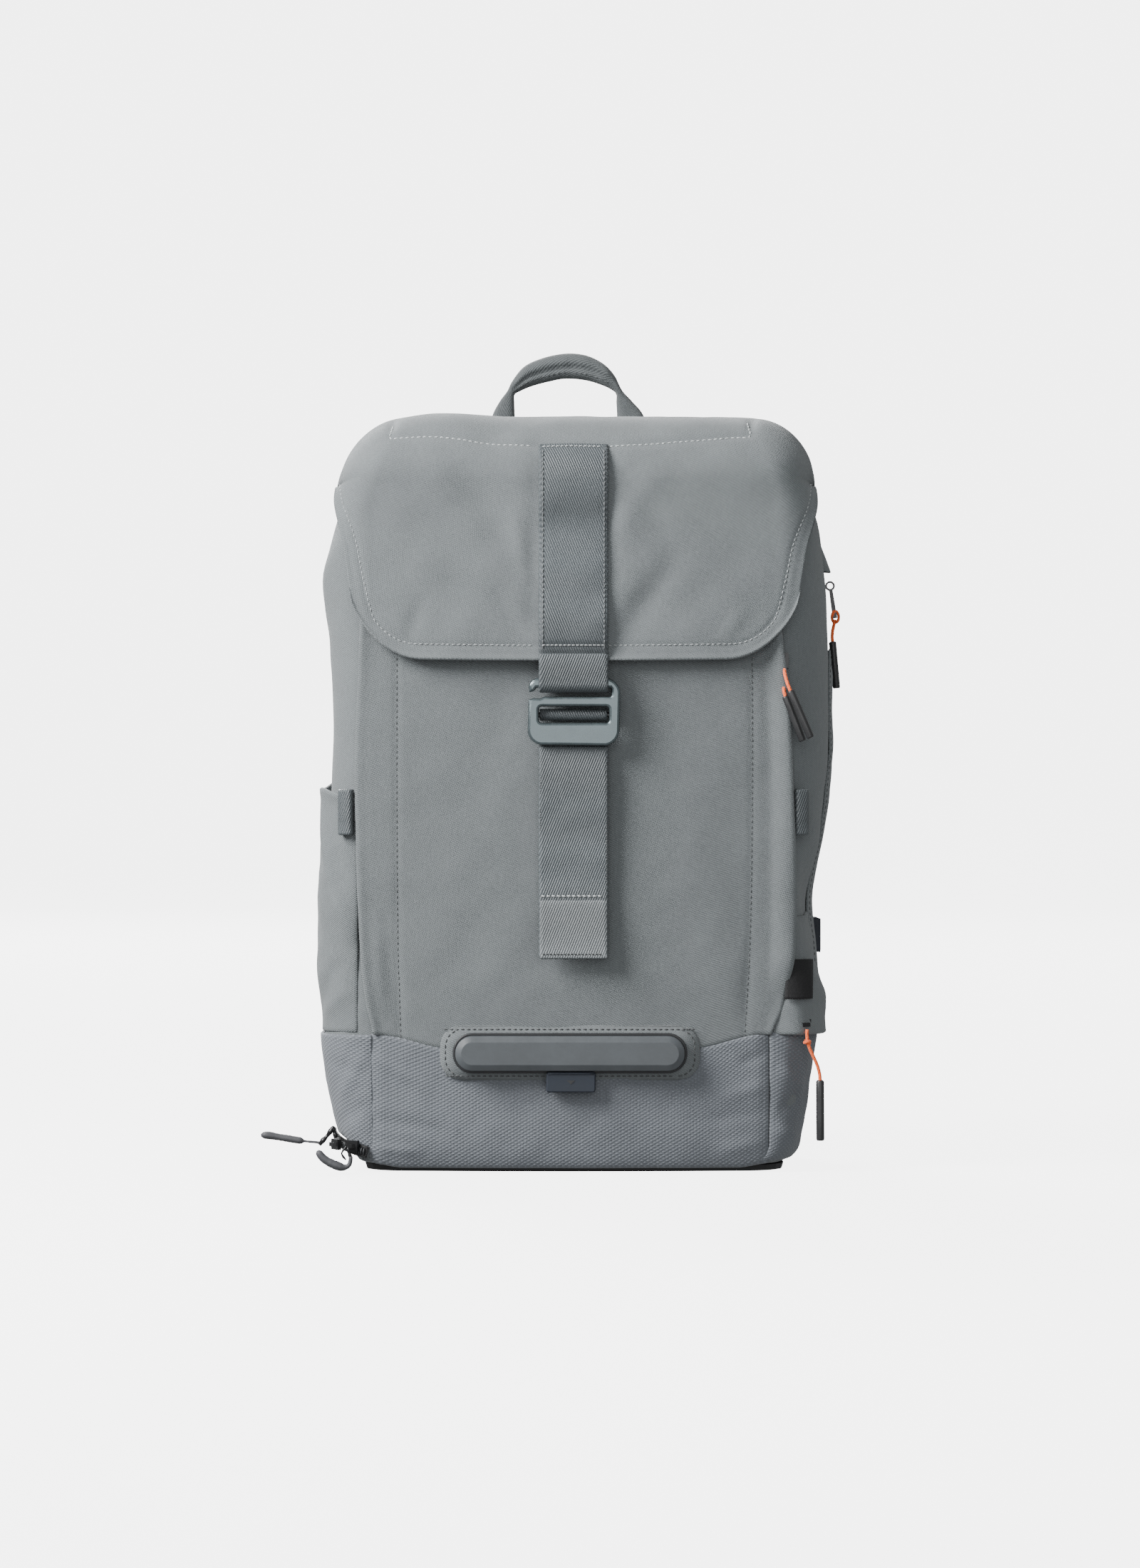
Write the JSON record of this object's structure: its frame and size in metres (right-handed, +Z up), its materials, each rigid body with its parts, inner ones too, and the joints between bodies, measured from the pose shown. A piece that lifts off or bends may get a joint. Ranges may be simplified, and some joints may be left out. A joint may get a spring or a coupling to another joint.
{
  "type": "daypack",
  "caption": "Upright flap-top daypack with a metal hook closure on webbing, padded back, shoulder straps, zipped and open side pockets, and a lift-off mount cover on its tough base.",
  "frame": {"origin": "middle of the sole, on the surface the pack stands on", "axes": "+Z up the pack, -Y out of the front face with the flap and hook, +X to the right when facing the front"},
  "size_m": [0.3381, 0.2268, 0.479],
  "materials": {
    "shell_fabric": "woven twill",
    "front_fabric": "woven twill",
    "flap_fabric": "woven twill",
    "base_fabric": "coarse basket weave",
    "webbing": "flat ribbed webbing",
    "hook_metal": "satin blue-grey coating",
    "black_metal": "satin black coating",
    "grey_rubber": "matte moulded rubber",
    "navy_rubber": "matte moulded rubber",
    "grip_plastic": "matte tube",
    "orange_cord": "braided cord",
    "black_plastic": "fine moulded grain",
    "spacer_mesh": "air mesh",
    "sole_rubber": "coated sole",
    "label_black": "woven label"
  },
  "bodies": {
    "bag": {"bag_shell": "shell_fabric", "bottle_pocket": "shell_fabric", "zip_pocket_right": "shell_fabric", "zip_garage": "shell_fabric", "back_panel": "shell_fabric", "front_panel": "front_fabric", "base_band": "base_fabric", "mount_dock": "base_fabric", "strap_anchor": "webbing", "side_loop_left": "webbing", "side_loop_right": "webbing", "lower_web_left": "webbing", "lower_web_right": "webbing", "side_tab_right": "navy_rubber", "frame_sheet": "black_plastic", "zip_track_front": "black_plastic", "zip_track_rear": "black_plastic", "zip_track_lower": "black_plastic", "zip_track_base": "black_plastic", "back_pad_left": "spacer_mesh", "back_pad_right": "spacer_mesh", "shoulder_strap_left": "spacer_mesh", "shoulder_strap_right": "spacer_mesh", "divider_pad": "spacer_mesh", "sole_panel": "sole_rubber", "label_tag": "label_black"},
    "flap_top": {"flap_top_panel": "flap_fabric"},
    "flap_front": {"flap_front_panel": "flap_fabric", "flap_strap": "webbing", "flap_loop": "webbing"},
    "hook": {"hook_frame": "hook_metal", "hook_wrap": "webbing", "friction_bar": "black_metal"},
    "strap_tail": {"strap_tail": "webbing"},
    "handle": {"handle_loop": "flap_fabric"},
    "mount_cover": {"mount_cover": "grey_rubber"},
    "release_tab": {"release_tab": "navy_rubber"},
    "sternum": {"sternum_web_left": "webbing", "buckle_socket": "black_plastic"},
    "sternum_plug": {"sternum_web_right": "webbing", "buckle_plug": "black_plastic"},
    "ladder_lock_left": {"ladder_lock_left": "black_plastic"},
    "ladder_lock_right": {"ladder_lock_right": "black_plastic"},
    "slider_front_upper": {"slider_front_upper": "black_metal"},
    "slider_front_lower": {"slider_front_lower": "black_metal"},
    "slider_rear": {"slider_rear": "black_metal"},
    "slider_lower": {"slider_lower": "black_metal"},
    "slider_base_front": {"slider_base_front": "black_metal"},
    "slider_base_rear": {"slider_base_rear": "black_metal"},
    "pull_front_upper": {"pull_cord_front_upper": "orange_cord", "pull_grip_front_upper": "grip_plastic"},
    "pull_front_lower": {"pull_cord_front_lower": "orange_cord", "pull_grip_front_lower": "grip_plastic"},
    "pull_rear": {"rear_pull_link": "black_metal", "pull_cord_rear": "orange_cord", "pull_grip_rear": "grip_plastic"},
    "pull_lower": {"pull_cord_lower": "orange_cord", "pull_grip_lower": "grip_plastic"},
    "pull_base_front": {"rubber_pull_front": "grey_rubber"},
    "pull_base_rear": {"rubber_pull_rear": "grey_rubber"}
  },
  "joints": [
    {"name": "flap_lift", "type": "hinge", "parent": "bag", "child": "flap_top", "pos_m": [0, 0.068, 0.434], "axis": [-1, 0, 0], "range_deg": [0, 90]},
    {"name": "flap_fold", "type": "hinge", "parent": "flap_top", "child": "flap_front", "pos_m": [0, -0.0825, 0.407], "axis": [-1, 0, 0], "range_deg": [0, 88]},
    {"name": "hook_tilt", "type": "hinge", "parent": "bag", "child": "hook", "pos_m": [0.002, -0.088, 0.278], "axis": [-1, 0, 0], "range_deg": [0, 12]},
    {"name": "tail_swing", "type": "hinge", "parent": "bag", "child": "strap_tail", "pos_m": [0.002, -0.0836, 0.24], "axis": [-1, 0, 0], "range_deg": [0, 45]},
    {"name": "handle_fold", "type": "hinge", "parent": "bag", "child": "handle", "pos_m": [0, 0.0835, 0.4365], "axis": [-1, 0, 0], "range_deg": [0, 70], "stiffness_Nm_per_rad": 0.05},
    {"name": "cover_release", "type": "slide", "parent": "bag", "child": "mount_cover", "axis": [0, -1, 0], "range_m": [0, 0.05]},
    {"name": "tab_flip", "type": "hinge", "parent": "mount_cover", "child": "release_tab", "pos_m": [0.0005, -0.0876, 0.0584], "axis": [-1, 0, 0], "range_deg": [0, 40]},
    {"name": "sternum_height", "type": "slide", "parent": "bag", "child": "sternum", "axis": [0, 0, 1], "range_m": [-0.03, 0.03]},
    {"name": "buckle_release", "type": "slide", "parent": "sternum", "child": "sternum_plug", "axis": [1, 0, 0], "range_m": [0, 0.035]},
    {"name": "ladder_tilt_left", "type": "hinge", "parent": "bag", "child": "ladder_lock_left", "pos_m": [-0.084, 0.1033, 0.1694], "axis": [-1, 0, 0], "range_deg": [0, 25]},
    {"name": "ladder_tilt_right", "type": "hinge", "parent": "bag", "child": "ladder_lock_right", "pos_m": [0.088, 0.1033, 0.1694], "axis": [-1, 0, 0], "range_deg": [0, 25]},
    {"name": "zip_front_upper", "type": "slide", "parent": "bag", "child": "slider_front_upper", "axis": [0, 0, 1], "range_m": [0, 0.014]},
    {"name": "zip_front_lower", "type": "slide", "parent": "bag", "child": "slider_front_lower", "axis": [0, 0, 1], "range_m": [-0.14, 0]},
    {"name": "zip_rear", "type": "slide", "parent": "bag", "child": "slider_rear", "axis": [0, 0, 1], "range_m": [-0.225, 0]},
    {"name": "zip_lower", "type": "hinge", "parent": "bag", "child": "slider_lower", "pos_m": [0.1157, -0.042, 0.084], "axis": [0, 0, 1], "range_deg": [0, 57]},
    {"name": "zip_base_front", "type": "hinge", "parent": "bag", "child": "slider_base_front", "pos_m": [-0.1014, -0.0401, 0.015], "axis": [0, 0, -1], "range_deg": [-28, 0]},
    {"name": "zip_base_rear", "type": "hinge", "parent": "bag", "child": "slider_base_rear", "pos_m": [-0.1014, -0.0401, 0.015], "axis": [0, 0, -1], "range_deg": [0, 28]},
    {"name": "pull_swing_front_upper", "type": "hinge", "parent": "slider_front_upper", "child": "pull_front_upper", "pos_m": [0.1216, -0.0772, 0.2874], "axis": [0.0698, -0.9976, 0], "range_deg": [0, 60]},
    {"name": "pull_swing_front_lower", "type": "hinge", "parent": "slider_front_lower", "child": "pull_front_lower", "pos_m": [0.1214, -0.0772, 0.2766], "axis": [0.0698, -0.9976, 0], "range_deg": [0, 60]},
    {"name": "pull_lift_rear", "type": "hinge", "parent": "slider_rear", "child": "pull_rear", "pos_m": [0.1548, 0.0614, 0.3416], "axis": [0.4223, -0.9064, 0], "range_deg": [0, 90]},
    {"name": "pull_lift_lower", "type": "hinge", "parent": "slider_lower", "child": "pull_lower", "pos_m": [0.1349, -0.0718, 0.082], "axis": [-0.8387, -0.5446, 0], "range_deg": [0, 90]},
    {"name": "pull_swing_base_front", "type": "hinge", "parent": "slider_base_front", "child": "pull_base_front", "pos_m": [-0.1254, -0.075, 0.0106], "axis": [0, 0, -1], "range_deg": [-60, 0]},
    {"name": "pull_swing_base_rear", "type": "hinge", "parent": "slider_base_rear", "child": "pull_base_rear", "pos_m": [-0.138, -0.0596, 0.02], "axis": [0, 0, -1], "range_deg": [-20, 50]}
  ]
}
